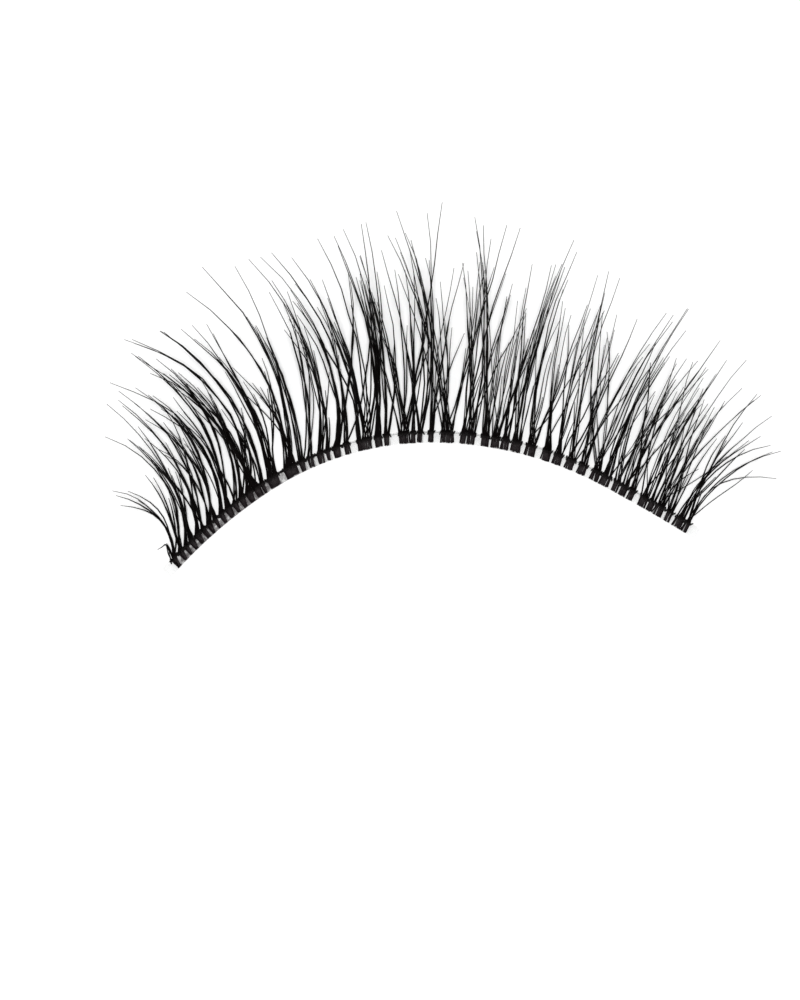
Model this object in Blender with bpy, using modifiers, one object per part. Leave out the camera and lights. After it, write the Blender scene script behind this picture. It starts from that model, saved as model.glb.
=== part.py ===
"""False eyelash strip: a clear film band, a thread along it, and locks of black fibre fused to their root ends.

Metres, +Z up. The band's back lies on the plane z = 0, and the origin is on it, at the top of its arch.
Lengths in the tables are millimetres.
"""
import math
from collections import namedtuple

import bmesh
import bpy
from mathutils import Vector

MM = 0.001

# Band: the lower edge is an arch of two arcs on each side of its top, with a straight clear tail after them
Arc = namedtuple("Arc", "radius turn_degrees")
ARCH_TOP_X = -0.4
ARCH_TOP_Y = -0.1
ARCH_LEFT = (Arc(17.0, 33.0), Arc(28.0, 14.4))
ARCH_RIGHT = (Arc(21.0, 28.0), Arc(88.0, 3.6))
BAND_LEFT_X = -15.5
BAND_RIGHT_X = 14.85
BAND_HEIGHT = 0.70
BAND_THICKNESS = 0.10
BAND_SPANS = 44

# Layers through the band: film, root ends, thread, each clear of the next by the same small gap
LAYER_GAP = 0.02
ROOT_THICKNESS = 0.12
ROOT_FOOT = 0.03
ROOT_TOP = 0.66
ROOT_HEIGHT = BAND_THICKNESS + LAYER_GAP + ROOT_THICKNESS / 2.0
THREAD_DIAMETER = 0.16
THREAD_PLACE = 0.60
THREAD_PAST_LOCKS = 0.30
THREAD_SPANS = 60

# Wisps: tapered bundles of fibre. They dip to the surface, then curl up to their tips, one layer over another
WISP_RINGS = 7
RING_CROWDING = 1.25
WISP_START = 0.30
SIDE_WISP_SHIFT = 0.30
SIDE_WISP_SCALE = 0.8
ROOT_GIRTH = 0.05
WISP_GIRTH = 0.11
TIP_GIRTH = 0.02
FULL_GIRTH_SHARE = 0.18
TAPER_POWER = 1.2
BELLY_REACH = 1.5
CURL_START = 1.6
CURL_RISE = 0.33
LAYERS = 4
LAYER_RISE = 0.02
LAYER_STEP = 0.23
WELD = 1e-7

Wisp = namedtuple("Wisp", "tip_x tip_y bow")
Lock = namedtuple("Lock", "root_x width wisps")

# One row a lock, left to right. A wisp's bow is how far its middle stands right of the straight line to its tip
LOCKS = (
    Lock(-14.88, 0.26, (Wisp(-18.8, -2.9, 0.9), Wisp(-15.7, -5.9, 0.0))),
    Lock(-14.50, 0.24, (Wisp(-19.2, 0.2, 1.5), Wisp(-16.9, -2.0, 0.3))),
    Lock(-14.20, 0.22, (Wisp(-17.8, 0.0, 0.9),)),
    Lock(-13.88, 0.24, (Wisp(-19.1, 2.1, 0.9),)),
    Lock(-13.53, 0.28, (Wisp(-18.2, 2.0, 0.9),)),
    Lock(-13.20, 0.22, (Wisp(-18.4, 2.8, 1.2), Wisp(-15.6, -0.6, 0.2))),
    Lock(-12.87, 0.26, (Wisp(-17.4, 3.0, 1.3),)),
    Lock(-12.54, 0.22, (Wisp(-16.9, 1.2, 0.9),)),
    Lock(-12.20, 0.26, (Wisp(-18.9, 3.3, 1.7), Wisp(-16.4, 2.6, 0.9))),
    Lock(-11.80, 0.32, (Wisp(-17.6, 5.0, 1.3),)),
    Lock(-11.42, 0.26, (Wisp(-14.0, 2.3, 0.7),)),
    Lock(-11.03, 0.30, (Wisp(-15.0, 3.9, 1.0),)),
    Lock(-10.62, 0.34, (Wisp(-18.0, 5.8, 2.0),)),
    Lock(-10.20, 0.34, (Wisp(-16.8, 4.4, 0.8),)),
    Lock(-9.88, 0.20, (Wisp(-15.9, 6.3, 1.1),)),
    Lock(-9.30, 0.60, (Wisp(-13.3, 6.7, 0.4), Wisp(-14.8, 6.4, 1.2))),
    Lock(-8.30, 0.68, (Wisp(-13.6, 9.9, 1.4), Wisp(-14.5, 8.5, 1.5), Wisp(-11.9, 4.2, 0.6))),
    Lock(-7.65, 0.30, (Wisp(-10.5, 6.6, 0.5), Wisp(-11.6, 10.0, 0.5))),
    Lock(-7.18, 0.32, (Wisp(-9.7, 8.5, 0.7), Wisp(-8.4, 7.0, 0.2))),
    Lock(-6.62, 0.40, (Wisp(-10.9, 10.4, 1.4), Wisp(-9.6, 9.2, 1.0))),
    Lock(-6.20, 0.24, (Wisp(-8.8, 6.4, 0.7),)),
    Lock(-5.70, 0.40, (Wisp(-10.2, 10.5, 1.5), Wisp(-8.4, 8.0, 1.0))),
    Lock(-5.15, 0.30, (Wisp(-9.6, 10.7, 1.3),)),
    Lock(-4.15, 0.75, (Wisp(-8.4, 10.5, 0.8), Wisp(-6.8, 11.6, 0.8), Wisp(-4.2, 12.5, 0.8), Wisp(-7.2, 9.3, 0.4))),
    Lock(-3.38, 0.34, (Wisp(-5.4, 12.1, 0.8), Wisp(-6.0, 11.7, 0.8), Wisp(-4.4, 12.4, 0.1))),
    Lock(-2.88, 0.30, (Wisp(-3.1, 8.9, 0.5), Wisp(-4.5, 10.6, 0.5))),
    Lock(-1.90, 0.60, (Wisp(0.2, 13.6, 0.2), Wisp(-3.8, 8.5, 0.2))),
    Lock(-1.43, 0.22, (Wisp(-1.9, 9.8, 0.2),)),
    Lock(-1.02, 0.30, (Wisp(-3.3, 10.9, 0.3), Wisp(-1.9, 11.9, 1.1))),
    Lock(-0.40, 0.26, (Wisp(-0.6, 13.0, 0.2), Wisp(1.4, 10.2, -0.2))),
    Lock(0.50, 0.70, (Wisp(-2.4, 13.1, 0.6), Wisp(3.9, 12.3, 0.0), Wisp(-2.9, 11.7, 0.8), Wisp(0.2, 9.1, 0.3))),
    Lock(1.44, 0.30, (Wisp(4.7, 12.2, -0.4), Wisp(2.7, 9.8, -0.2))),
    Lock(1.87, 0.42, (Wisp(1.4, 10.2, 0.2), Wisp(2.1, 12.8, 0.9))),
    Lock(2.65, 0.40, (Wisp(2.6, 12.3, 0.3), Wisp(4.3, 9.0, -0.3))),
    Lock(3.25, 0.42, (Wisp(6.5, 10.0, 0.3), Wisp(4.6, 8.0, 0.1))),
    Lock(3.80, 0.38, (Wisp(5.1, 8.8, -0.2),)),
    Lock(4.42, 0.50, (Wisp(5.4, 10.1, -0.3), Wisp(7.7, 11.5, -0.6), Wisp(6.8, 10.1, -0.4))),
    Lock(5.25, 0.50, (Wisp(7.9, 10.8, -1.0), Wisp(8.5, 7.8, 0.2))),
    Lock(6.15, 0.42, (Wisp(7.3, 7.6, -0.3),)),
    Lock(6.80, 0.42, (Wisp(9.1, 9.5, -0.5), Wisp(9.4, 7.8, -0.6))),
    Lock(7.50, 0.46, (Wisp(9.8, 9.7, -0.2), Wisp(11.4, 7.0, 0.1))),
    Lock(8.20, 0.42, (Wisp(13.1, 7.3, -0.5), Wisp(10.3, 7.2, -0.2))),
    Lock(8.95, 0.42, (Wisp(13.4, 7.2, -0.6),)),
    Lock(9.52, 0.48, (Wisp(14.3, 7.6, -0.6), Wisp(14.3, 6.3, -0.8))),
    Lock(10.12, 0.32, (Wisp(14.9, 4.6, -0.4), Wisp(13.2, 4.9, -0.7))),
    Lock(10.55, 0.36, (Wisp(16.2, 5.7, -0.3), Wisp(12.5, 2.6, -0.1))),
    Lock(11.00, 0.30, (Wisp(14.2, 4.7, -0.6),)),
    Lock(11.70, 0.44, (Wisp(15.3, 3.6, -0.5),)),
    Lock(12.14, 0.26, (Wisp(16.6, 4.6, -0.6),)),
    Lock(12.60, 0.46, (Wisp(17.7, 4.6, -0.9), Wisp(18.5, 2.6, -0.8))),
    Lock(13.15, 0.34, (Wisp(17.4, 3.0, -0.9),)),
    Lock(13.75, 0.44, (Wisp(19.2, 1.4, -0.9),)),
    Lock(14.18, 0.26, (Wisp(18.3, 2.7, -0.6), Wisp(19.7, -0.6, -1.2))),
)

# Colours (linear) and finishes
CLEAR_FILM = (0.80, 0.80, 0.79, 1.0)
BLACK_THREAD = (0.022, 0.020, 0.020, 1.0)
BLACK_FIBRE = (0.010, 0.008, 0.008, 1.0)


def clear_scene():
    for item in list(bpy.data.objects):
        bpy.data.objects.remove(item, do_unlink=True)


def new_collection(name):
    collection = bpy.data.collections.new(name)
    bpy.context.scene.collection.children.link(collection)
    return collection


def new_material(name, colour, roughness, alpha=1.0):
    material = bpy.data.materials.new(name)
    material.use_nodes = True
    shader = material.node_tree.nodes["Principled BSDF"]
    shader.inputs["Base Color"].default_value = colour
    shader.inputs["Roughness"].default_value = roughness
    shader.inputs["Metallic"].default_value = 0.0
    shader.inputs["Alpha"].default_value = alpha
    material.diffuse_color = colour
    return material


def add_mesh_object(name, mesh, collection, material):
    mesh.materials.clear()
    mesh.materials.append(material)
    piece = bpy.data.objects.new(name, mesh)
    collection.objects.link(piece)
    return piece


def edge_place(x):
    """Point and outward normal of the band's lower edge at x, in the plane of the band."""
    side, arcs = (1.0, ARCH_RIGHT) if x >= ARCH_TOP_X else (-1.0, ARCH_LEFT)
    start = Vector((ARCH_TOP_X, ARCH_TOP_Y))
    slope = 0.0
    for arc in arcs:
        centre = start - arc.radius * Vector((side * math.sin(slope), math.cos(slope)))
        end_slope = slope + math.radians(arc.turn_degrees)
        reach = side * (x - centre.x) / arc.radius
        if reach <= math.sin(end_slope):
            normal = Vector((side * reach, math.sqrt(1.0 - reach * reach)))
            return centre + arc.radius * normal, normal
        start = centre + arc.radius * Vector((side * math.sin(end_slope), math.cos(end_slope)))
        slope = end_slope
    run = x - start.x
    normal = Vector((side * math.sin(slope), math.cos(slope)))
    return start + run * Vector((1.0, -side * math.tan(slope))), normal


def band_point(x, out, z):
    """Point in metres that lies out from the lower edge at x, along the edge's normal, at height z."""
    point, normal = edge_place(x)
    point = point + out * normal
    return Vector((point.x, point.y, z)) * MM


def mix(low, high, share):
    return low + (high - low) * share


def smooth_step(value):
    value = min(1.0, max(0.0, value))
    return value * value * (3.0 - 2.0 * value)


def build_band(collection, material):
    """Flat film strip that follows the arch: an open surface with Solidify."""
    sheet = bmesh.new()
    bmesh.ops.create_grid(sheet, x_segments=BAND_SPANS, y_segments=1, size=1.0)
    for vertex in sheet.verts:
        along, across = (vertex.co.x + 1.0) / 2.0, (vertex.co.y + 1.0) / 2.0
        vertex.co = band_point(mix(BAND_LEFT_X, BAND_RIGHT_X, along), across * BAND_HEIGHT, 0.0)
    mesh = bpy.data.meshes.new("band")
    sheet.to_mesh(mesh)
    sheet.free()
    band = add_mesh_object("band", mesh, collection, material)
    thickness = band.modifiers.new("film thickness", "SOLIDIFY")
    thickness.thickness = BAND_THICKNESS * MM
    thickness.offset = 1.0


def new_tube(name, points, radii):
    """Six-sided tube through the points, with a radius in mm at each, as a POLY spline with filled caps."""
    curve = bpy.data.curves.new(name, "CURVE")
    curve.dimensions = "3D"
    curve.bevel_depth = MM
    curve.bevel_resolution = 1
    curve.use_fill_caps = True
    spline = curve.splines.new("POLY")
    spline.points.add(len(points) - 1)
    for place, point, radius in zip(spline.points, points, radii):
        place.co = (*point, 1.0)
        place.radius = radius
    return bpy.data.objects.new(name, curve)


def build_thread(collection, material):
    """Thread along the band's upper edge, over the root ends."""
    height = BAND_THICKNESS + ROOT_THICKNESS + 2.0 * LAYER_GAP + THREAD_DIAMETER / 2.0
    left = LOCKS[0].root_x - THREAD_PAST_LOCKS
    right = LOCKS[-1].root_x + THREAD_PAST_LOCKS
    places = [mix(left, right, step / THREAD_SPANS) for step in range(THREAD_SPANS + 1)]
    points = [band_point(x, THREAD_PLACE, height) for x in places]
    thread = new_tube("thread", points, [THREAD_DIAMETER / 2.0] * len(points))
    thread.data.materials.append(material)
    collection.objects.link(thread)


def wisp_height(run, length, girth, layer):
    """Height of a wisp's centre line at a distance along it: from the root ends, down to the belly, then up."""
    belly = girth + LAYER_STEP * layer
    curl_start = min(CURL_START, length / 3.0)
    curl = max(0.0, (run - curl_start) / (length - curl_start))
    rise = (CURL_RISE + LAYER_RISE * layer) * length * curl ** 2
    return mix(ROOT_HEIGHT, belly, smooth_step(run / BELLY_REACH)) + rise


def wisp_half_width(share, girth):
    """Half width of a wisp: thin in the root end, full soon after it, then a long taper to the tip."""
    if share < FULL_GIRTH_SHARE:
        return mix(ROOT_GIRTH, girth, smooth_step(share / FULL_GIRTH_SHARE))
    return mix(girth, TIP_GIRTH, ((share - FULL_GIRTH_SHARE) / (1.0 - FULL_GIRTH_SHARE)) ** TAPER_POWER)


def build_wisp(name, root_x, wisp, girth, layer, guides):
    """One tapered wisp as a closed mesh: a bowed line in plan, curled in height."""
    edge, normal = edge_place(root_x)
    root = edge + WISP_START * normal
    tip = Vector((wisp.tip_x, wisp.tip_y))
    line = tip - root
    length = line.length
    right = Vector((line.y, -line.x)) / length
    points, radii = [], []
    for ring in range(WISP_RINGS):
        share = (ring / (WISP_RINGS - 1)) ** RING_CROWDING
        plan = root + line * share + right * (4.0 * wisp.bow * share * (1.0 - share))
        points.append(Vector((plan.x, plan.y, wisp_height(share * length, length, girth, layer))) * MM)
        radii.append(wisp_half_width(share, girth))
    tube = new_tube(name, points, radii)
    guides.objects.link(tube)
    bpy.context.view_layer.update()
    mesh = bpy.data.meshes.new_from_object(tube.evaluated_get(bpy.context.evaluated_depsgraph_get()))
    shape = bmesh.new()
    shape.from_mesh(mesh)
    bmesh.ops.remove_doubles(shape, verts=shape.verts, dist=WELD)
    shape.to_mesh(mesh)
    shape.free()
    solid = bpy.data.objects.new(name, mesh)
    solid.matrix_world = tube.matrix_world.copy()
    bpy.data.objects.remove(tube, do_unlink=True)
    guides.objects.link(solid)
    solid.hide_render = True
    solid.display_type = "WIRE"
    return solid


def build_lock(number, lock, collection, guides, material):
    """Root end of a lock, a small flat block on the film, with its wisps joined to it."""
    name = f"lock_{number:02d}"
    edge, normal = edge_place(lock.root_x)
    middle = edge + normal * (ROOT_FOOT + ROOT_TOP) / 2.0
    block = bmesh.new()
    bmesh.ops.create_cube(block, size=MM)
    bmesh.ops.scale(block, vec=(lock.width, ROOT_TOP - ROOT_FOOT, ROOT_THICKNESS), verts=block.verts)
    mesh = bpy.data.meshes.new(name)
    block.to_mesh(mesh)
    block.free()
    root = add_mesh_object(name, mesh, collection, material)
    root.location = Vector((middle.x, middle.y, ROOT_HEIGHT)) * MM
    root.rotation_euler.z = math.atan2(-normal.x, normal.y)
    main_wisp = lock.wisps[0]
    for wisp in lock.wisps:
        side = (wisp.tip_x > main_wisp.tip_x) - (wisp.tip_x < main_wisp.tip_x)
        start_x = lock.root_x + side * SIDE_WISP_SHIFT * lock.width
        girth = WISP_GIRTH * (SIDE_WISP_SCALE if side else 1.0)
        solid = build_wisp(f"{name}_wisp", start_x, wisp, girth, number % LAYERS, guides)
        join = root.modifiers.new(solid.name, "BOOLEAN")
        join.operation = "UNION"
        join.object = solid


def main():
    clear_scene()
    parts = new_collection("false_eyelash_strip")
    guides = new_collection("wisp_guides")
    build_band(parts, new_material("clear_film", CLEAR_FILM, 0.25, alpha=0.35))
    build_thread(parts, new_material("black_thread", BLACK_THREAD, 0.6))
    fibre = new_material("black_fibre", BLACK_FIBRE, 0.35)
    for number, lock in enumerate(LOCKS, start=1):
        build_lock(number, lock, parts, guides, fibre)


main()
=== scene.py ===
import math
import random
from collections import namedtuple

import bmesh
import bpy
from mathutils import Matrix, Vector


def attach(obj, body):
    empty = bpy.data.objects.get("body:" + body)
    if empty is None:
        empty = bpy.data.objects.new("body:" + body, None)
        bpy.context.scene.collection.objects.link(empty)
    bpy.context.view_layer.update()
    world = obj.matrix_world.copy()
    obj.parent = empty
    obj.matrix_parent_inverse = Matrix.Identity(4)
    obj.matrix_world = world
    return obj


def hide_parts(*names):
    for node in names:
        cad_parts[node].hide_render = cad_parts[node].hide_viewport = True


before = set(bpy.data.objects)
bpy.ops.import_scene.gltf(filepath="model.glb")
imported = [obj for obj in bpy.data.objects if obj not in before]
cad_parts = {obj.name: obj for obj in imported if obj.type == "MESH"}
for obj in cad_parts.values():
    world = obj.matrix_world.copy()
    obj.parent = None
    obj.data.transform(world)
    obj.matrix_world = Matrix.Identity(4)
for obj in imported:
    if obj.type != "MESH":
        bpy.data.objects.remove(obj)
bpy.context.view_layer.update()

mm = 0.001  # every length below is in mm until it meets the mesh
chance = random.Random(11)

Arc = namedtuple("Arc", "radius turn")
Lock = namedtuple("Lock", "rootX width wisps")
Wisp = namedtuple("Wisp", "tipX tipY bow")
Clump = namedtuple("Clump", "slot tip bow layer lean split")
Nature = namedtuple("Nature", "reach scatter lift tone foot wave waveTurn phase")

# the band's lower edge, as in the CAD source: arcs left and right of its top, in mm and degrees
archShape = {
    "top": Vector((-0.4, -0.1)),
    "left": (Arc(17.0, 33.0), Arc(28.0, 14.4)),
    "right": (Arc(21.0, 28.0), Arc(88.0, 3.6)),
}

# one row a lock, left to right
# a wisp's bow is how far its middle stands to the right of the straight line to its tip
locks = (
    Lock(-14.88, 0.26, (Wisp(-18.8, -2.9, 0.9), Wisp(-15.7, -5.9, 0.0))),
    Lock(-14.50, 0.24, (Wisp(-19.2, 0.2, 1.5), Wisp(-16.9, -2.0, 0.3))),
    Lock(-14.20, 0.22, (Wisp(-17.8, 0.0, 0.9),)),
    Lock(-13.88, 0.24, (Wisp(-19.1, 2.1, 0.9),)),
    Lock(-13.53, 0.28, (Wisp(-18.2, 2.0, 0.9),)),
    Lock(-13.20, 0.22, (Wisp(-18.4, 2.8, 1.2), Wisp(-15.6, -0.6, 0.2))),
    Lock(-12.87, 0.26, (Wisp(-17.4, 3.0, 1.3),)),
    Lock(-12.54, 0.22, (Wisp(-16.9, 1.2, 0.9),)),
    Lock(-12.20, 0.26, (Wisp(-18.9, 3.3, 1.7), Wisp(-16.4, 2.6, 0.9))),
    Lock(-11.80, 0.32, (Wisp(-17.6, 5.0, 1.3),)),
    Lock(-11.42, 0.26, (Wisp(-14.0, 2.3, 0.7),)),
    Lock(-11.03, 0.30, (Wisp(-15.0, 3.9, 1.0),)),
    Lock(-10.62, 0.34, (Wisp(-18.0, 5.8, 2.0),)),
    Lock(-10.20, 0.34, (Wisp(-16.8, 4.4, 0.8),)),
    Lock(-9.88, 0.20, (Wisp(-15.9, 6.3, 1.1),)),
    Lock(-9.30, 0.60, (Wisp(-13.3, 6.7, 0.4), Wisp(-14.8, 6.4, 1.2))),
    Lock(-8.30, 0.68, (Wisp(-13.6, 9.9, 1.4), Wisp(-14.5, 8.5, 1.5), Wisp(-11.9, 4.2, 0.6))),
    Lock(-7.65, 0.30, (Wisp(-10.5, 6.6, 0.5), Wisp(-11.6, 10.0, 0.5))),
    Lock(-7.18, 0.32, (Wisp(-9.7, 8.5, 0.7), Wisp(-8.4, 7.0, 0.2))),
    Lock(-6.62, 0.40, (Wisp(-10.9, 10.4, 1.4), Wisp(-9.6, 9.2, 1.0))),
    Lock(-6.20, 0.24, (Wisp(-8.8, 6.4, 0.7),)),
    Lock(-5.70, 0.40, (Wisp(-10.2, 10.5, 1.5), Wisp(-8.4, 8.0, 1.0))),
    Lock(-5.15, 0.30, (Wisp(-9.6, 10.7, 1.3),)),
    Lock(-4.15, 0.75, (Wisp(-8.4, 10.5, 0.8), Wisp(-6.8, 11.6, 0.8),
                       Wisp(-4.2, 12.5, 0.8), Wisp(-7.2, 9.3, 0.4))),
    Lock(-3.38, 0.34, (Wisp(-5.4, 12.1, 0.8), Wisp(-6.0, 11.7, 0.8), Wisp(-4.4, 12.4, 0.1))),
    Lock(-2.88, 0.30, (Wisp(-3.1, 8.9, 0.5), Wisp(-4.5, 10.6, 0.5))),
    Lock(-1.90, 0.60, (Wisp(0.2, 13.6, 0.2), Wisp(-3.8, 8.5, 0.2))),
    Lock(-1.43, 0.22, (Wisp(-1.9, 9.8, 0.2),)),
    Lock(-1.02, 0.30, (Wisp(-3.3, 10.9, 0.3), Wisp(-1.9, 11.9, 1.1))),
    Lock(-0.40, 0.26, (Wisp(-0.6, 13.0, 0.2), Wisp(1.4, 10.2, -0.2))),
    Lock(0.50, 0.70, (Wisp(-2.4, 13.1, 0.6), Wisp(3.9, 12.3, 0.0),
                      Wisp(-2.9, 11.7, 0.8), Wisp(0.2, 9.1, 0.3))),
    Lock(1.44, 0.30, (Wisp(4.7, 12.2, -0.4), Wisp(2.7, 9.8, -0.2))),
    Lock(1.87, 0.42, (Wisp(1.4, 10.2, 0.2), Wisp(2.1, 12.8, 0.9))),
    Lock(2.65, 0.40, (Wisp(2.6, 12.3, 0.3), Wisp(4.3, 9.0, -0.3))),
    Lock(3.25, 0.42, (Wisp(6.5, 10.0, 0.3), Wisp(4.6, 8.0, 0.1))),
    Lock(3.80, 0.38, (Wisp(5.1, 8.8, -0.2),)),
    Lock(4.42, 0.50, (Wisp(5.4, 10.1, -0.3), Wisp(7.7, 11.5, -0.6), Wisp(6.8, 10.1, -0.4))),
    Lock(5.25, 0.50, (Wisp(7.9, 10.8, -1.0), Wisp(8.5, 7.8, 0.2))),
    Lock(6.15, 0.42, (Wisp(7.3, 7.6, -0.3),)),
    Lock(6.80, 0.42, (Wisp(9.1, 9.5, -0.5), Wisp(9.4, 7.8, -0.6))),
    Lock(7.50, 0.46, (Wisp(9.8, 9.7, -0.2), Wisp(11.4, 7.0, 0.1))),
    Lock(8.20, 0.42, (Wisp(13.1, 7.3, -0.5), Wisp(10.3, 7.2, -0.2))),
    Lock(8.95, 0.42, (Wisp(13.4, 7.2, -0.6),)),
    Lock(9.52, 0.48, (Wisp(14.3, 7.6, -0.6), Wisp(14.3, 6.3, -0.8))),
    Lock(10.12, 0.32, (Wisp(14.9, 4.6, -0.4), Wisp(13.2, 4.9, -0.7))),
    Lock(10.55, 0.36, (Wisp(16.2, 5.7, -0.3), Wisp(12.5, 2.6, -0.1))),
    Lock(11.00, 0.30, (Wisp(14.2, 4.7, -0.6),)),
    Lock(11.70, 0.44, (Wisp(15.3, 3.6, -0.5),)),
    Lock(12.14, 0.26, (Wisp(16.6, 4.6, -0.6),)),
    Lock(12.60, 0.46, (Wisp(17.7, 4.6, -0.9), Wisp(18.5, 2.6, -0.8))),
    Lock(13.15, 0.34, (Wisp(17.4, 3.0, -0.9),)),
    Lock(13.75, 0.44, (Wisp(19.2, 1.4, -0.9),)),
    Lock(14.18, 0.26, (Wisp(18.3, 2.7, -0.6), Wisp(19.7, -0.6, -1.2))),
)

# where the strip's look changes along x: where the change starts, and the mm until it is full
zones = {
    "leftEnd": (-8.5, -2.0),  # close, crowded locks in pairs
    "looseLeft": (-8.0, -4.0),
    "openRight": (-3.0, 7.0),  # straighter fibres that spread like a fan
    "partedRoots": (-9.0, 7.0),  # clear gaps between the root ends
}


def mix(low, high, share):
    return low + (high - low) * share


def smoothStep(value):
    value = min(1.0, max(0.0, value))
    return value * value * (3.0 - 2.0 * value)


def zone(name, x):
    # 0 before the named change, 1 past it
    start, run = zones[name]
    return smoothStep((x - start) / run)


def edgePlace(x):
    # point and outward normal of the band's lower edge at x
    side, arcs = (1.0, archShape["right"]) if x >= archShape["top"].x else (-1.0, archShape["left"])
    start, slope = archShape["top"].copy(), 0.0
    for arc in arcs:
        centre = start - arc.radius * Vector((side * math.sin(slope), math.cos(slope)))
        endSlope = slope + math.radians(arc.turn)
        reach = side * (x - centre.x) / arc.radius
        if reach <= math.sin(endSlope):
            normal = Vector((side * reach, math.sqrt(1.0 - reach * reach)))
            return centre + arc.radius * normal, normal
        start = centre + arc.radius * Vector((side * math.sin(endSlope), math.cos(endSlope)))
        slope = endSlope
    normal = Vector((side * math.sin(slope), math.cos(slope)))
    return start + (x - start.x) * Vector((1.0, -side * math.tan(slope))), normal


def bandPoint(x, out, z):
    # that far out from the band's lower edge at x, and z above its back
    point, normal = edgePlace(x)
    return Vector((point.x + out * normal.x, point.y + out * normal.y, z))


def addStrand(shape, path, radii, sides, marks, square=Vector((0.0, 0.0, 1.0))):
    # one closed tapering tube, grown ring by ring; marks holds a value per ring for each named attribute,
    # square is a direction the path never runs along
    floats = shape.verts.layers.float
    layers = {name: floats.get(name) or floats.new(name) for name in marks}
    frames = []
    for index, point in enumerate(path):
        along = (path[min(index + 1, len(path) - 1)] - path[max(index - 1, 0)]).normalized()
        across = along.cross(square).normalized()
        turn = Matrix((across, along.cross(across), along)).transposed().to_4x4()
        frames.append(Matrix.Translation(point * mm) @ turn)
    disc = bmesh.ops.create_circle(
        shape, cap_ends=True, segments=sides, radius=radii[0] * mm, matrix=frames[0])
    ring = disc["verts"]
    face = ring[0].link_faces[0]
    for index in range(len(path)):
        if index:
            grown = bmesh.ops.extrude_face_region(shape, geom=[face])["geom"]
            ring = [item for item in grown if isinstance(item, bmesh.types.BMVert)]
            face = next(item for item in grown if isinstance(item, bmesh.types.BMFace))
            scale = Matrix.Scale(radii[index] / radii[index - 1], 4)
            move = frames[index] @ scale @ frames[index - 1].inverted()
            bmesh.ops.transform(shape, matrix=move, verts=ring)
        for vertex in ring:
            for name, layer in layers.items():
                vertex[layer] = marks[name][index]


def finishPiece(name, shape, material, slot, *nodes):
    bmesh.ops.recalc_face_normals(shape, faces=shape.faces)
    for face in shape.faces:
        face.smooth = True
    mesh = bpy.data.meshes.new(name)
    shape.to_mesh(mesh)
    shape.free()
    mesh.materials.append(material)
    piece = bpy.data.objects.new(name, mesh)
    bpy.context.scene.collection.objects.link(piece)
    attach(piece, "root")
    if nodes:
        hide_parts(*nodes)


# shader maths as plain expressions: one wrapped socket, its operators, and one way to add any other node
class Shade:
    def __init__(self, tree, socket=None):
        self.tree = tree
        self.socket = socket

    def node(self, kind, inputs, output=0, stops=None, **settings):
        made = self.tree.nodes.new(kind)
        for name, value in settings.items():
            setattr(made, name, value)
        if stops:
            ramp = made.color_ramp.elements
            while len(ramp) < len(stops):
                ramp.new(0.5)
            for element, (place, colour) in zip(ramp, stops):
                element.position = place
                element.color = (*colour, 1.0)
        for name, value in inputs.items():
            if isinstance(value, Shade):
                self.tree.links.new(value.socket, made.inputs[name])
            else:
                made.inputs[name].default_value = value
        return Shade(self.tree, made.outputs[output])

    def __add__(self, other):
        return self.node("ShaderNodeMath", {0: self, 1: other}, operation="ADD")

    def __mul__(self, other):
        return self.node("ShaderNodeMath", {0: self, 1: other}, operation="MULTIPLY")

    __radd__ = __add__
    __rmul__ = __mul__


def newFinish(name, **fixed):
    # a Principled material; fixed values go straight onto its own sockets
    material = bpy.data.materials.new(name)
    material.use_nodes = True
    shader = material.node_tree.nodes["Principled BSDF"]
    for socket, value in fixed.items():
        shader.inputs[socket.replace("_", " ")].default_value = value
    return material, shader, Shade(material.node_tree)


def plug(value, shader, name):
    value.tree.links.new(value.socket, shader.inputs[name])


def ownPlace(start):
    # the piece's own coordinates
    return start.node("ShaderNodeTexCoord", {}, output="Object")


def grain(start, size, detail=3.0):
    # noise with grains that are size mm wide
    return start.node(
        "ShaderNodeTexNoise", {"Vector": ownPlace(start), "Scale": 1.0 / (size * mm), "Detail": detail})


def blend(start, factor, first, second):
    # two colours mixed by a mask
    return start.node("ShaderNodeMix", {"Factor": factor, 6: first, 7: second}, output=2, data_type="RGBA")


def mark(start, name):
    # one of the values that addStrand leaves on the mesh
    return start.node("ShaderNodeAttribute", {}, output="Fac", attribute_name=name)


def roughen(height, shader, strength, depth):
    # a bump that is depth mm deep
    bump = height.node("ShaderNodeBump", {"Height": height, "Strength": strength, "Distance": depth * mm})
    plug(bump, shader, "Normal")


fibreLook = {
    "black": ((0.0022, 0.0018, 0.0018, 1.0), (0.008, 0.0062, 0.0058, 1.0)),
    "pressed": ((0.0035, 0.0028, 0.003, 1.0), (0.024, 0.017, 0.019, 1.0)),  # in the root ends, under glue
    "streak": 0.05,
    "bump": (0.25, 0.004),
}


def fibreFinish():
    material, shader, start = newFinish("blackFibre", Metallic=0.0, IOR=1.5, Specular_IOR_Level=0.07)
    root, tone = mark(start, "root"), mark(start, "tone")
    streak = grain(start, fibreLook["streak"])
    black = blend(start, tone * 0.7 + streak * 0.3, *fibreLook["black"])
    pressed = blend(start, streak, *fibreLook["pressed"])
    plug(blend(start, root, black, pressed), shader, "Base Color")
    plug(streak * 0.14 + root * 0.18 + 0.36, shader, "Roughness")
    roughen(streak, shader, *fibreLook["bump"])
    return material


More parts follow.
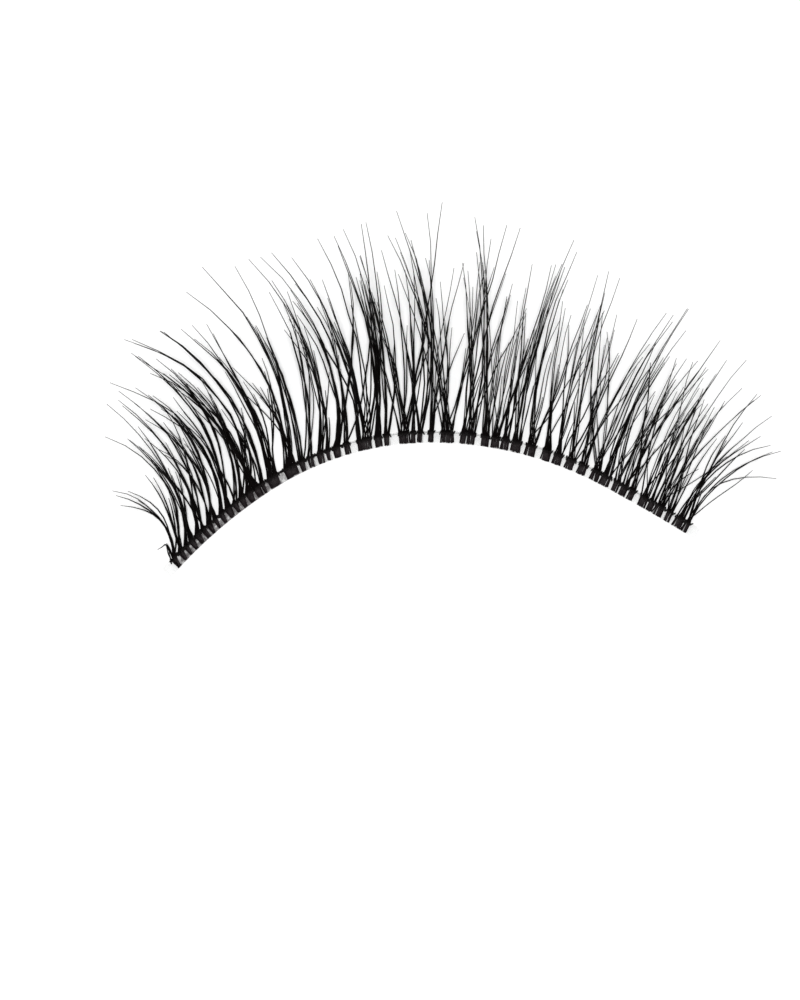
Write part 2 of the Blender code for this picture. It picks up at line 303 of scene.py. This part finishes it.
filmLook = {
    "clear": ((0.52, 0.53, 0.53, 1.0), (0.88, 0.88, 0.87, 1.0)),
    "smudge": (0.09, 0.076, 0.08, 1.0),
    "haze": 1.4,
    "spot": 0.20,
    "spotStops": ((0.30, (0, 0, 0)), (0.52, (1, 1, 1))),
    "smudgedFrom": (-6.0, -10.0),  # x at which the smudges start, and at which they are full
    "cleanTail": (-15.15, -14.9),  # the same for the tail past the first lock, which has none
    "bump": (0.3, 0.02),
}


def filmFinish():
    # clear film, with smudges of dark glue towards its left end
    material, shader, start = newFinish("clearFilm", Metallic=0.0, IOR=1.46, Specular_IOR_Level=0.08)
    haze = grain(start, filmLook["haze"], 4.0)
    across = start.node("ShaderNodeSeparateXYZ", {0: ownPlace(start)}, output="X")
    leftward, offTail = (
        start.node("ShaderNodeMapRange", {0: across, 1: low * mm, 2: high * mm})
        for low, high in (filmLook["smudgedFrom"], filmLook["cleanTail"]))
    spots = start.node(
        "ShaderNodeValToRGB", {0: grain(start, filmLook["spot"], 2.0)}, stops=filmLook["spotStops"])
    smudge = leftward * offTail * spots
    clear = blend(start, haze, *filmLook["clear"])
    plug(blend(start, smudge, clear, filmLook["smudge"]), shader, "Base Color")
    plug(haze * 0.12 + smudge * 0.30 + 0.05, shader, "Alpha")
    plug(haze * 0.2 + 0.26, shader, "Roughness")
    roughen(haze, shader, *filmLook["bump"])
    return material


threadLook = {
    "clear": ((0.62, 0.62, 0.62, 1.0), (0.90, 0.90, 0.89, 1.0)),
    "black": ((0.004, 0.0035, 0.0035, 1.0), (0.018, 0.015, 0.015, 1.0)),
    "fuzz": 0.06,
    "bump": (0.3, 0.006),
}


def threadFinish():
    # clear thread, black where glue and fibre have stained it
    material, shader, start = newFinish("lashThread", Metallic=0.0, IOR=1.5, Specular_IOR_Level=0.10)
    dark = mark(start, "dark")
    fuzz = grain(start, threadLook["fuzz"])
    clear = blend(start, fuzz, *threadLook["clear"])
    black = blend(start, fuzz, *threadLook["black"])
    plug(blend(start, dark, clear, black), shader, "Base Color")
    plug(dark * 0.74 + 0.26, shader, "Alpha")
    plug(fuzz * 0.2 + 0.4, shader, "Roughness")
    roughen(fuzz, shader, *threadLook["bump"])
    return material


glueLook = {
    "colours": ((0.03, 0.026, 0.027, 1.0), (0.17, 0.145, 0.15, 1.0)),
    "cloud": 0.16,
    "bump": (0.4, 0.015),
}


def glueFinish():
    material, shader, start = newFinish("driedGlue", Metallic=0.0, IOR=1.45, Specular_IOR_Level=0.20)
    cloud = grain(start, glueLook["cloud"])
    plug(blend(start, cloud, *glueLook["colours"]), shader, "Base Color")
    plug(cloud * 0.2 + 0.01, shader, "Alpha")
    plug(cloud * 0.2 + 0.22, shader, "Roughness")
    roughen(cloud, shader, *glueLook["bump"])
    return material


# lengths and widths in mm; a pair is the least and the most, or what its note says
fibre = {
    "perMm": (19.5, 23.5),  # fibres for each mm of root width: in tight locks, in the open right side
    "leftMore": 11.0,  # and so many more at the left end
    "fewest": 3,  # fibres of a wisp
    "wispShares": (0.45, 0.55),  # of a lock's fibres: the first wisp's, the others' together
    "sides": 5,
    "rings": 12,
    "ringCrowding": 1.2,  # above 1, the rings stand closer together near the root
    "rootWidth": 0.098,
    "bodyWidth": 0.073,
    "tipWidth": 0.028,
    "thinning": 2.5,  # how fast the pressed root end narrows to the body's width
    "taperFrom": 0.68,  # share of the length at which the tip starts to thin
    "taperCurve": 1.35,
    "stout": (0.72, 1.28),  # thinnest and stoutest body, as shares of its width
    "rightFine": 0.76,  # and how much finer they are in the open right side
    "rootFoot": (0.0, 0.07),  # from the band's lower edge
    "rootSpread": (1.10, 0.88),  # width of the pressed root ends in a lock's: elsewhere, left end
    "rootLean": 0.30,  # how far a root end slants, for a fibre that leaves square to the band's normal
    "rootRise": 0.62,  # how far the root end runs up the band
    "rootZ": (0.14, 0.21),
    "slotJitter": 0.2,
    "coreSlot": 0.3,  # how far to its own side in the root end a side wisp starts, in half widths
    "straySlot": 0.5,
    "pairPull": 0.30,  # how far each lock of the left end leans to its partner, as a share of the way
    "leastCore": 2,
    "coreShare": (0.30, 0.18),  # of a wisp's fibres, the ones that stay together: left, right
    "coreReach": (0.60, 1.0),  # as shares of the wisp's length, as the reaches below
    "looseReach": (0.22, 0.90),
    "crossReach": (0.42, 0.94),
    "shorterPair": (0.72, 0.80),  # least reach in a pair, as a share of its longest: stray, crossing
    "paired": (0.55, 0.2),  # chance that a stray clump has a second fibre: left, right
    "lean": (5.0, 8.5),  # degrees that a stray clump leaves the wisp's line by: tight, loose
    "mostLean": 17.0,
    "crossing": (0.42, 0.50),  # share of the stray clumps that head for a neighbour's tip: left, right
    "crossingSteps": 4,  # how many locks away that neighbour may be
    "crossingAngle": 23.0,  # degrees from the wisp's own line that its tip may stand at
    "crossingLength": 3.0,  # the nearest that its tip may be
    "early": (0.14, 0.55),  # share of the stray clumps that leave straight from the root: left, right
    "split": (1.1, 4.0),  # above the root, where the others part from the core
    "splitEase": 0.6,  # over what length they turn away
    "straighten": (0.60, 0.22),  # share of its bow that is left in the open right side: core, stray
    "bowSpread": (0.22, 0.06),  # of a clump that leaves at the root, of one that parts later
    "gather": (0.55, 0.75),  # how far a clump closes up above its root: elsewhere, left end
    "gatherBy": (2.2, 0.9),  # above the root, where it has: elsewhere, left end
    "scatter": 0.22,  # sideways at the tips of one clump
    "wave": (0.02, 0.065),
    "waveTurn": (0.9, 1.8),  # radians for each mm
    "waveFrom": 1.5,  # over what length the wave sets in
    "curlStart": 1.6,
    "curlRise": 0.33,  # height of the tip, as a share of the length
    "curlSpread": 0.05,
    "layers": 4,  # heights in which neighbouring locks pass each other
    "layerRise": 0.02,
    "layerStep": 0.23,
    "girth": 0.11,  # height of the lowest layer
    "girthSpread": 0.12,
    "lowest": 0.04,
    "bellyReach": 1.5,  # where a wisp's underside has come down to that height
    "bellyLead": 0.2,
}


def newNature(reach, scatter):
    # what sets one fibre apart from its neighbours
    wave = mix(*fibre["wave"], chance.random())
    waveTurn = mix(*fibre["waveTurn"], chance.random())
    foot = mix(*fibre["rootFoot"], chance.random())
    lift = chance.random()
    tone = chance.random()
    phase = chance.uniform(0.0, 2.0 * math.pi)
    return Nature(reach, scatter, lift, tone, foot, wave, waveTurn, phase)


def fibrePath(lock, clump, slot, nature):
    # from its own slot in the root end up the band, then out along the line of its clump
    half = lock.width / 2.0
    leftward = zone("leftEnd", lock.rootX)
    foot, normal = edgePlace(lock.rootX + slot * half)
    knot = foot + normal * fibre["rootRise"]
    edge, normalThere = edgePlace(lock.rootX + clump.slot * half)
    start = edge + normalThere * fibre["rootRise"]
    line = clump.tip - start
    length = line.length
    right = Vector((line.y, -line.x)) / length
    arch = 4.0 * clump.bow  # a parabola of that bow leaves its line by four times the bow
    leave = (line + right * arch).normalized()
    sideways = leave.x * normal.y - leave.y * normal.x
    most = half * mix(*fibre["rootSpread"], leftward)
    slant = max(-most, min(most, slot * most - sideways * fibre["rootLean"])) - slot * half
    end = foot + Vector((normal.y, -normal.x)) * slant + normal * nature.foot
    rootZ = mix(*fibre["rootZ"], nature.lift)
    points = [Vector((*end, rootZ)), Vector((*((end + knot) / 2.0), rootZ))]
    off = nature.lift - 0.5
    belly = fibre["girth"] + fibre["layerStep"] * clump.layer + off * fibre["girthSpread"]
    belly = max(fibre["lowest"], belly)
    tipRise = fibre["curlRise"] + fibre["layerRise"] * clump.layer + off * fibre["curlSpread"]
    curlStart = min(fibre["curlStart"], length / 3.0)
    gather = mix(*fibre["gather"], leftward)
    gatherBy = mix(*fibre["gatherBy"], leftward)
    rings = fibre["rings"] - len(points)
    for ring in range(rings):
        share = (ring / (rings - 1)) ** fibre["ringCrowding"] * nature.reach
        run = share * length
        closed = gather * smoothStep(run / gatherBy)
        parted = max(0.0, run - clump.split)
        aside = arch * share * (1.0 - share) + nature.scatter * share ** 2
        aside += clump.lean * parted ** 2 / (parted + fibre["splitEase"])
        swing = math.sin(nature.phase + run * nature.waveTurn)
        aside += nature.wave * smoothStep(run / fibre["waveFrom"]) * swing
        plan = start + line * share + right * aside + (knot - start) * (1.0 - closed)
        curl = max(0.0, (run - curlStart) / (length - curlStart))
        down = smoothStep((run + fibre["bellyLead"]) / fibre["bellyReach"])
        points.append(Vector((*plan, mix(rootZ, belly, down) + tipRise * length * curl ** 2)))
    return points


def fibreRadii(count, stout):
    radii = []
    for index in range(count):
        share = index / (count - 1)
        taper = max(0.0, (share - fibre["taperFrom"]) / (1.0 - fibre["taperFrom"]))
        body = mix(fibre["rootWidth"], fibre["bodyWidth"] * stout, min(1.0, share * fibre["thinning"]))
        radii.append(mix(body, fibre["tipWidth"], taper ** fibre["taperCurve"]) / 2.0)
    return radii


def layFibre(shape, lock, clump, slot, nature):
    path = fibrePath(lock, clump, slot, nature)
    marks = {
        "root": [1.0, 1.0, 0.5] + [0.0] * (len(path) - 3),
        "tone": [nature.tone] * len(path),
    }
    stout = mix(*fibre["stout"], nature.tone) * mix(1.0, fibre["rightFine"], zone("openRight", lock.rootX))
    addStrand(shape, path, fibreRadii(len(path), stout), fibre["sides"], marks)


def neighbourWisp(number, ownTip):
    # a wisp of a lock close by, if its tip doesn't lie too far to the side
    root = edgePlace(locks[number].rootX)[0]
    step = chance.randint(1, fibre["crossingSteps"]) * chance.choice((-1, 1))
    other = locks[min(len(locks) - 1, max(0, number + step))]
    wisp = chance.choice(other.wisps)
    line = Vector((wisp.tipX, wisp.tipY)) - root
    near = abs(line.angle(ownTip - root)) < math.radians(fibre["crossingAngle"])
    return wisp if near and line.length > fibre["crossingLength"] else None


def clumpsOf(number, wisp, side, count, layer):
    # the core of the wisp first, then small clumps that stray from its line or cross to a neighbour's tip;
    # each comes with its number of fibres, and the least and the most that they reach
    lock = locks[number]
    right = zone("openRight", lock.rootX)
    loose = max(right, zone("looseLeft", lock.rootX))
    partner = locks[min(number ^ 1, len(locks) - 1)]
    pull = zone("leftEnd", lock.rootX) * fibre["pairPull"] * (partner.rootX - lock.rootX)
    pull /= lock.width / 2.0
    tip = Vector((wisp.tipX, wisp.tipY))
    coreKeeps, strayKeeps = (mix(1.0, share, right) for share in fibre["straighten"])
    coreSlot = side * fibre["coreSlot"]
    earlyBow, lateBow = fibre["bowSpread"]
    strayLeast, crossLeast = fibre["shorterPair"]
    core = max(fibre["leastCore"], round(count * mix(*fibre["coreShare"], right)))
    yield Clump(coreSlot + pull, tip, wisp.bow * coreKeeps, layer, 0.0, 0.0), core, fibre["coreReach"]
    left = count - core
    while left > 0:
        size = min(left, 1 + (chance.random() < mix(*fibre["paired"], right)))
        left -= size
        slot = (chance.uniform(-1.0, 1.0) if side == 0 else side * chance.random()) + pull
        crosses = chance.random() < mix(*fibre["crossing"], right)
        other = neighbourWisp(number, tip) if crosses else None
        if other:
            reach = mix(*fibre["crossReach"], chance.random())
            bow = (wisp.bow + other.bow) / 2.0 * strayKeeps + chance.gauss(0.0, earlyBow)
            clump = Clump(slot, Vector((other.tipX, other.tipY)), bow, layer, 0.0, 0.0)
            yield clump, size, (reach * crossLeast, reach)
            continue
        lean = chance.gauss(0.0, mix(*fibre["lean"], loose))
        lean = math.radians(max(-fibre["mostLean"], min(fibre["mostLean"], lean)))
        early = chance.random() < mix(*fibre["early"], right)
        split = 0.0 if early else mix(*fibre["split"], chance.random())
        reach = mix(*fibre["looseReach"], chance.random())
        if early:
            bow = wisp.bow * strayKeeps + chance.gauss(0.0, earlyBow)
        else:
            bow = wisp.bow * coreKeeps + chance.gauss(0.0, lateBow)
            slot = coreSlot + (slot + pull) * fibre["straySlot"]
        yield Clump(slot, tip, bow, layer, lean, split), size, (reach * strayLeast, reach)


def takeSlot(slots, wanted, size):
    # the free place in the root end that is nearest to the wanted one, give or take
    give = fibre["slotJitter"]
    slot = min(slots, key=lambda free: abs(free - wanted - chance.uniform(-give, give) * size))
    slots.remove(slot)
    return slot


def buildFibres(material):
    total = 0
    mainShare, sideShare = fibre["wispShares"]
    for number, lock in enumerate(locks):
        shape = bmesh.new()
        layer = (number + 1) % fibre["layers"]
        perMm = mix(*fibre["perMm"], zone("openRight", lock.rootX))
        perMm += fibre["leftMore"] * zone("leftEnd", lock.rootX)
        firstX = lock.wisps[0].tipX
        sides = [(wisp.tipX > firstX) - (wisp.tipX < firstX) for wisp in lock.wisps]
        shares = [sideShare / (len(sides) - 1) if side else mainShare for side in sides]
        if len(sides) == 1:
            shares = [1.0]
        counts = [max(fibre["fewest"], round(lock.width * perMm * share)) for share in shares]
        slots = [(index + chance.random()) / sum(counts) * 2.0 - 1.0 for index in range(sum(counts))]
        for wisp, side, count in zip(lock.wisps, sides, counts):
            for clump, size, reach in clumpsOf(number, wisp, side, count, layer):
                for index in range(size):
                    slot = takeSlot(slots, clump.slot, size)
                    if index == 0:
                        nature = newNature(reach[1], 0.0)
                    else:
                        length = mix(*reach, chance.random())
                        nature = newNature(length, chance.gauss(0.0, fibre["scatter"]))
                    layFibre(shape, lock, clump, slot, nature)
                    total += 1
        finishPiece(f"fibres_{number + 1:02d}", shape, material, "fibre", f"lock_{number + 1:02d}")
    print("fibres laid:", total)


# single long fibres between the wisps
strays = {
    "rootWidth": 0.12,
    "rows": (  # root x, tip x and y, bow
        (-14.90, -17.9, -2.9, 0.8),
        (-14.85, -18.3, -3.7, 0.9),
        (-13.53, -18.4, 2.3, 1.0),
        (-13.20, -16.9, 0.1, 0.6),
        (-10.20, -16.0, 6.3, 1.3),
        (-9.50, -14.2, 6.6, 0.8),
        (-9.15, -12.6, 4.8, 0.5),
        (-4.50, -6.7, 9.2, 0.5),
        (-4.20, -6.4, 8.2, 0.4),
        (-3.38, -4.7, 9.4, 0.3),
        (-2.88, -3.6, 6.5, 0.1),
        (-1.90, -2.5, 9.8, 0.2),
        (-1.02, -1.7, 11.0, 0.5),
        (-0.95, -1.6, 11.5, 0.7),
        (-0.40, 0.9, 9.9, -0.2),
        (0.70, 2.4, 10.2, 0.2),
        (1.44, 3.0, 11.6, 0.1),
        (2.65, 3.9, 8.3, 0.1),
        (3.25, 5.0, 7.3, -0.2),
        (4.42, 7.1, 10.1, -0.4),
        (4.55, 6.5, 8.5, -0.2),
        (5.25, 7.2, 8.0, 0.1),
        (6.15, 7.65, 7.2, -0.2),
        (7.50, 10.4, 9.3, -0.3),
        (8.20, 9.6, 5.5, 0.0),
        (9.52, 12.9, 5.2, -0.5),
        (10.12, 13.0, 4.5, -0.4),
        (10.55, 13.7, 4.4, -0.2),
        (11.00, 13.4, 2.8, -0.3),
        (11.70, 15.4, 4.2, -0.4),
        (12.14, 15.5, 3.1, -0.4),
        (12.70, 15.0, -1.6, -0.3),
        (14.18, 19.2, -0.3, -1.1),
        (14.25, 19.5, -2.2, -1.2),
    ),
}


def buildStrays(material):
    shape = bmesh.new()
    for index, (rootX, tipX, tipY, bow) in enumerate(strays["rows"]):
        lock = Lock(rootX, strays["rootWidth"], ())
        clump = Clump(0.0, Vector((tipX, tipY)), bow, index % fibre["layers"], 0.0, 0.0)
        layFibre(shape, lock, clump, 0.0, newNature(1.0, 0.0))
    finishPiece("strayFibres", shape, material, "fibre")
    print("stray fibres laid:", len(strays["rows"]))


# the stout broken fibre past the left end, with a thin kink at its tip
stub = {
    "path": ((-15.00, -7.34, 0.20), (-15.16, -7.06, 0.19), (-15.34, -6.74, 0.17), (-15.58, -6.34, 0.18),
             (-15.74, -6.04, 0.22), (-15.82, -6.00, 0.24), (-16.02, -6.16, 0.25), (-16.26, -6.30, 0.22)),
    "widths": (0.15, 0.15, 0.14, 0.13, 0.11, 0.07, 0.045, 0.022),
    "tone": 0.3,
}


def buildStub(material):
    shape = bmesh.new()
    path = [Vector(point) for point in stub["path"]]
    radii = [width / 2.0 for width in stub["widths"]]
    marks = {"root": [0.0] * len(path), "tone": [stub["tone"]] * len(path)}
    addStrand(shape, path, radii, fibre["sides"], marks)
    finishPiece("brokenFibre", shape, material, "fibre")
    print("broken fibre laid")


thread = {
    "place": 0.60,  # out from the band's lower edge
    "height": 0.34,
    "plyRadius": 0.040,
    "slack": 0.45,  # how much of that is left between two locks
    "twist": 0.42,  # length of one turn
    "turnRings": 9,
    "sides": 6,
    "pastLocks": 0.20,
    "darkPast": (0.24, 0.03),  # how far its black runs past a lock: at the left end, elsewhere
    "darkFade": 0.08,
}


def overLock(x):
    # 1 over a root end, 0 between two
    past = mix(*thread["darkPast"], zone("partedRoots", x))
    inside = max(lock.width / 2.0 + past - abs(x - lock.rootX) for lock in locks)
    return smoothStep(inside / thread["darkFade"] + 0.5)


def buildThread(material):
    shape = bmesh.new()
    left, right = locks[0].rootX - thread["pastLocks"], locks[-1].rootX + thread["pastLocks"]
    rings = round((right - left) / thread["twist"] * thread["turnRings"])
    for ply in (0.0, math.pi):
        path, dark, radii = [], [], []
        for ring in range(rings + 1):
            x = mix(left, right, ring / rings)
            angle = ply + 2.0 * math.pi * (x - left) / thread["twist"]
            held = overLock(x)
            radius = thread["plyRadius"] * mix(thread["slack"], 1.0, held)
            out = thread["place"] + radius * math.cos(angle)
            path.append(bandPoint(x, out, thread["height"] + radius * math.sin(angle)))
            dark.append(held)
            radii.append(radius)
        addStrand(shape, path, radii, thread["sides"], {"dark": dark})
    finishPiece("twistedThread", shape, material, "thread", "thread")
    print("thread twisted")


knots = {
    "spacing": 0.15,
    "wireRadius": (0.030, 0.046),
    "loopRadius": 0.104,
    "arc": (-0.25, 1.25),  # where a loop starts and ends, in half turns
    "past": 0.03,  # how far the outer knots stand past a lock's sides
    "lean": 0.06,
    "sides": 6,
    "rings": 7,
}


def buildKnots(material):
    shape = bmesh.new()
    for lock in locks:
        count = max(2, round(lock.width / knots["spacing"]))
        for index in range(count):
            x = lock.rootX + (lock.width + 2.0 * knots["past"]) * (index / (count - 1) - 0.5)
            lean = chance.uniform(-1.0, 1.0) * knots["lean"]
            path = []
            for ring in range(knots["rings"]):
                angle = mix(*knots["arc"], ring / (knots["rings"] - 1)) * math.pi
                out = thread["place"] + knots["loopRadius"] * math.cos(angle)
                z = thread["height"] + knots["loopRadius"] * math.sin(angle)
                path.append(bandPoint(x + lean * math.cos(angle), out, z))
            normal = edgePlace(x)[1]
            radii = [mix(*knots["wireRadius"], chance.random())] * len(path)
            alongBand = Vector((normal.y, -normal.x, 0.0))
            addStrand(shape, path, radii, knots["sides"], {"dark": [1.0] * len(path)}, alongBand)
    finishPiece("threadKnots", shape, material, "thread")
    print("knots tied")


# a thin skin of dried glue over each root end
glue = {
    "foot": 0.0,  # from the band's lower edge
    "top": 0.68,
    "base": 0.13,  # above the band's back
    "thickness": 0.115,
    "margin": 0.02,
    "rounding": 0.045,
    "roundingSteps": 3,
}


def buildGlue(material):
    shape = bmesh.new()
    for lock in locks:
        edge, normal = edgePlace(lock.rootX)
        middle = edge + normal * (glue["foot"] + glue["top"]) / 2.0
        skin = bmesh.new()
        bmesh.ops.create_cube(skin, size=mm)
        size = (lock.width + glue["margin"], glue["top"] - glue["foot"], glue["thickness"])
        bmesh.ops.scale(skin, vec=size, verts=skin.verts)
        bmesh.ops.bevel(
            skin, geom=skin.edges, offset=glue["rounding"] * mm, segments=glue["roundingSteps"],
            profile=0.5, affect="EDGES", material=-1)
        turn = Matrix.Rotation(math.atan2(-normal.x, normal.y), 4, "Z")
        place = Matrix.Translation(Vector((*middle, glue["base"] + glue["thickness"] / 2.0)) * mm)
        bmesh.ops.transform(skin, matrix=place @ turn, verts=skin.verts)
        mesh = bpy.data.meshes.new("skin")
        skin.to_mesh(mesh)
        skin.free()
        shape.from_mesh(mesh)
        bpy.data.meshes.remove(mesh)
    finishPiece("glueSkins", shape, material, "clear_film")
    print("glue laid")


def dressBand(material):
    # the CAD film's own shape is right, so it only gets its material
    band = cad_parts["band"]
    band.data.materials.clear()
    band.data.materials.append(material)
    print("band dressed")


view = {
    "centreX": -2.204,
    "centreY": -3.422,
    "frameHeight": 58.0,  # mm of the band's plane that the picture's height takes in
    "lens": 250.0,
    "sensor": 36.0,
    "clip": (0.01, 10.0),  # m
}


def addCamera():
    lens = bpy.data.cameras.new("photoCamera")
    lens.lens = view["lens"]
    lens.sensor_width = view["sensor"]
    lens.clip_start, lens.clip_end = view["clip"]
    camera = bpy.data.objects.new("photoCamera", lens)
    distance = view["frameHeight"] / view["sensor"] * view["lens"]
    camera.location = Vector((view["centreX"], view["centreY"], distance)) * mm
    bpy.context.scene.collection.objects.link(camera)
    bpy.context.scene.camera = camera


# floor and lights, in m where a note doesn't say otherwise
studio = {
    "floorHalf": 1.5,
    "floorDrop": 0.02,  # mm
    "floorColour": (0.9, 0.9, 0.9, 1.0),
    "floorRoughness": 0.9,
    "ambient": 0.40,
    "gamma": 0.85,
    "boxHeight": 0.90,
    "boxSize": 0.20,
    "boxWatts": 6.6,
    "panelPlace": (-0.30, 0.30, 0.60),
    "panelSize": 0.5,
    "panelWatts": 0.5,
}


def addStage():
    shape = bmesh.new()
    below = Matrix.Translation((0.0, 0.0, -studio["floorDrop"] * mm))
    bmesh.ops.create_grid(shape, x_segments=1, y_segments=1, size=studio["floorHalf"], matrix=below)
    mesh = bpy.data.meshes.new("paleFloor")
    shape.to_mesh(mesh)
    shape.free()
    card = newFinish("paleCard", Base_Color=studio["floorColour"], Roughness=studio["floorRoughness"])[0]
    mesh.materials.append(card)
    floor = bpy.data.objects.new("paleFloor", mesh)
    bpy.context.scene.collection.objects.link(floor)


def addLight(name, place, size, watts):
    lamp = bpy.data.lights.new(name, "AREA")
    lamp.size = size
    lamp.energy = watts
    light = bpy.data.objects.new(name, lamp)
    light.location = place
    aim = Vector((view["centreX"] * mm, 0.0, 0.0)) - Vector(place)
    light.rotation_euler = aim.to_track_quat("-Z", "Y").to_euler()
    bpy.context.scene.collection.objects.link(light)


def addStudio():
    world = bpy.data.worlds.new("softStudio")
    world.use_nodes = True
    sky = world.node_tree.nodes["Background"]
    sky.inputs["Color"].default_value = (1.0, 1.0, 1.0, 1.0)
    sky.inputs["Strength"].default_value = studio["ambient"]
    bpy.context.scene.world = world
    bpy.context.scene.view_settings.view_transform = "Standard"
    bpy.context.scene.view_settings.gamma = studio["gamma"]
    above = (view["centreX"] * mm, view["centreY"] * mm, studio["boxHeight"])
    addLight("softBox", above, studio["boxSize"], studio["boxWatts"])
    addLight("sidePanel", studio["panelPlace"], studio["panelSize"], studio["panelWatts"])
    print("studio lit")


addCamera()
addStage()
addStudio()
dressBand(filmFinish())
fibreMaterial = fibreFinish()
buildFibres(fibreMaterial)
buildStrays(fibreMaterial)
buildStub(fibreMaterial)
threadMaterial = threadFinish()
buildThread(threadMaterial)
buildKnots(threadMaterial)
buildGlue(glueFinish())
